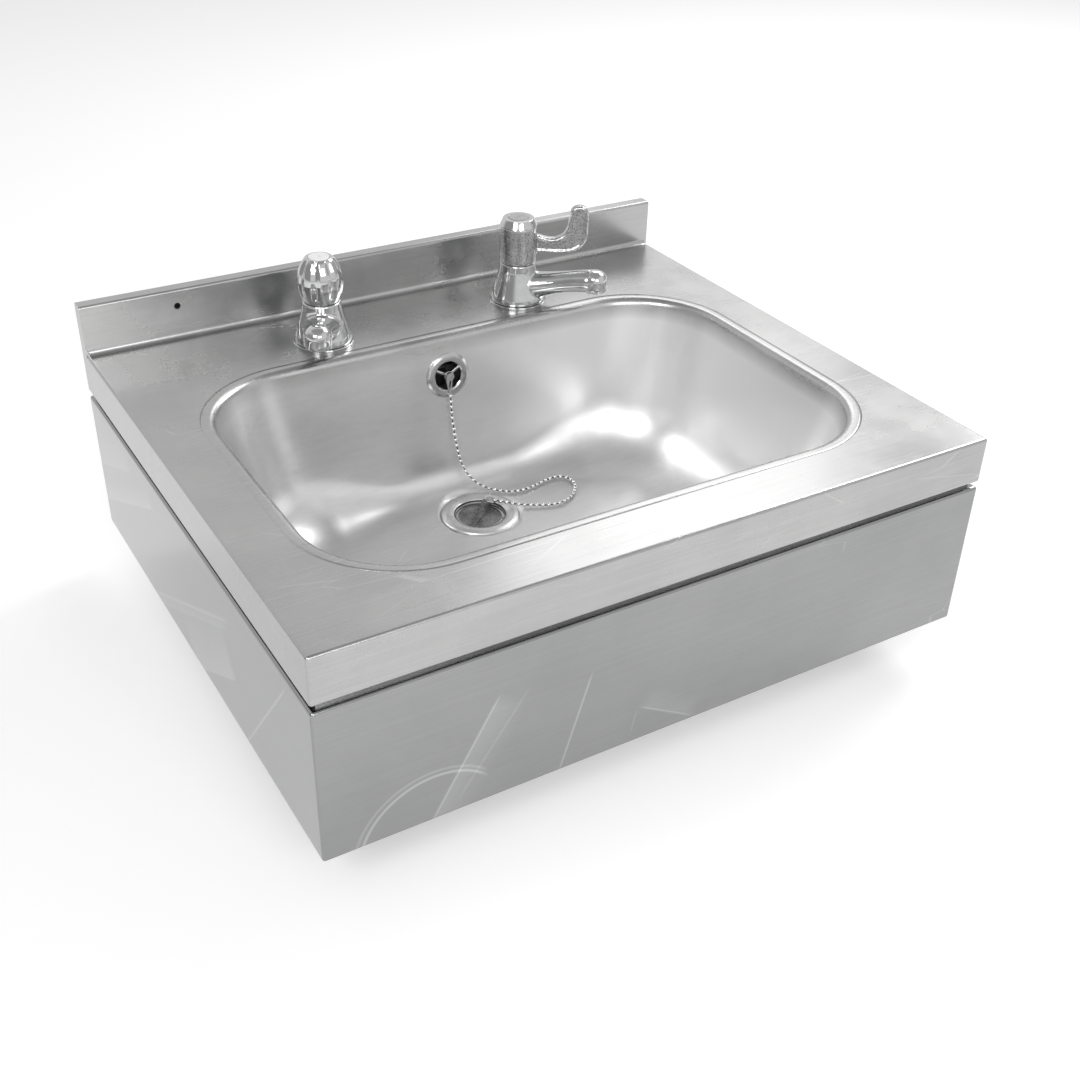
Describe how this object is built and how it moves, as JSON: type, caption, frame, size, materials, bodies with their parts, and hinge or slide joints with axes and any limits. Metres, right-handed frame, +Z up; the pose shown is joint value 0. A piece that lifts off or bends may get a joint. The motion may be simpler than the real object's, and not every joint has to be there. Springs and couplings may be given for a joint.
{
  "type": "hand wash sink",
  "caption": "Wall-hung stainless steel hand wash sink: pressed bowl in a folded top with upstand and apron, pillar taps with knob and lever, slotted waste, overflow, and plug on a bead chain.",
  "frame": {"origin": "on the wall plane, at the middle of the sink's width, level with the top of the deck", "axes": "+X to the user's right along the wall, +Y into the wall, +Z up"},
  "size_m": [0.6, 0.511, 0.319],
  "materials": {
    "steel": "satin",
    "dark_steel": "dull",
    "screw_steel": "plain",
    "rose_steel": "polished",
    "waste_chrome": "polished",
    "chrome": "polished",
    "lever_chrome": "slightly dull",
    "chain_chrome": "polished",
    "brass": "machined",
    "plug_rubber": "matt, speckled",
    "seal_rubber": "matt",
    "black_plastic": "matt",
    "hose_plastic": "matt",
    "white_plastic": "matt",
    "white_index": "glossy",
    "grey_index": "glossy",
    "ceramic": "lapped"
  },
  "bodies": {
    "sink": {"sink_top": "steel", "bowl": "steel", "apron": "steel", "spacer_strip": "dark_steel", "apron_screws": "screw_steel", "apron_nuts": "screw_steel", "waste_body": "waste_chrome", "waste_seal": "seal_rubber", "overflow_collar": "black_plastic", "collar_washers": "seal_rubber", "waste_backnut": "black_plastic", "overflow_rose": "rose_steel", "chain_stay": "screw_steel", "overflow_screw": "screw_steel", "overflow_gasket": "seal_rubber", "overflow_elbow": "black_plastic", "overflow_hose": "hose_plastic", "hose_clips": "screw_steel", "left_tap_body": "chrome", "right_tap_body": "chrome", "tap_base_washers": "chrome", "tap_spacers": "white_plastic", "tap_backnuts": "brass", "left_headgear": "brass", "right_cartridge": "brass", "right_seat_seal": "seal_rubber", "right_fixed_disc": "ceramic", "plug_chain": "chain_chrome"},
    "left_knob_group": {"left_knob": "chrome", "left_knob_screw": "screw_steel", "left_index": "white_index", "left_spindle": "brass"},
    "left_valve_group": {"left_jumper": "brass", "left_valve_washer": "seal_rubber"},
    "right_lever_group": {"right_lever": "lever_chrome", "right_lever_screw": "screw_steel", "right_index": "grey_index", "right_spindle": "brass", "right_moving_disc": "ceramic"},
    "plug_group": {"plug": "plug_rubber", "plug_ring": "screw_steel"}
  },
  "joints": [
    {"name": "left_knob_turn", "type": "hinge", "parent": "sink", "child": "left_knob_group", "pos_m": [-0.102, -0.081, 0.06], "axis": [0, 0, 1], "range_deg": [0, 900]},
    {"name": "left_valve_lift", "type": "slide", "parent": "sink", "child": "left_valve_group", "axis": [0, 0, 1], "range_m": [0, 0.0051]},
    {"name": "right_lever_turn", "type": "hinge", "parent": "sink", "child": "right_lever_group", "pos_m": [0.102, -0.081, 0.06], "axis": [0, 0, 1], "range_deg": [-90, 0]},
    {"name": "plug_lift", "type": "slide", "parent": "sink", "child": "plug_group", "axis": [0, 0, 1], "range_m": [0, 0.06], "deforming": ["plug_chain"]}
  ],
  "couplings": [
    {"joint": "left_valve_lift", "follows": "left_knob_turn", "m_per_rad": 0.00031831}
  ]
}
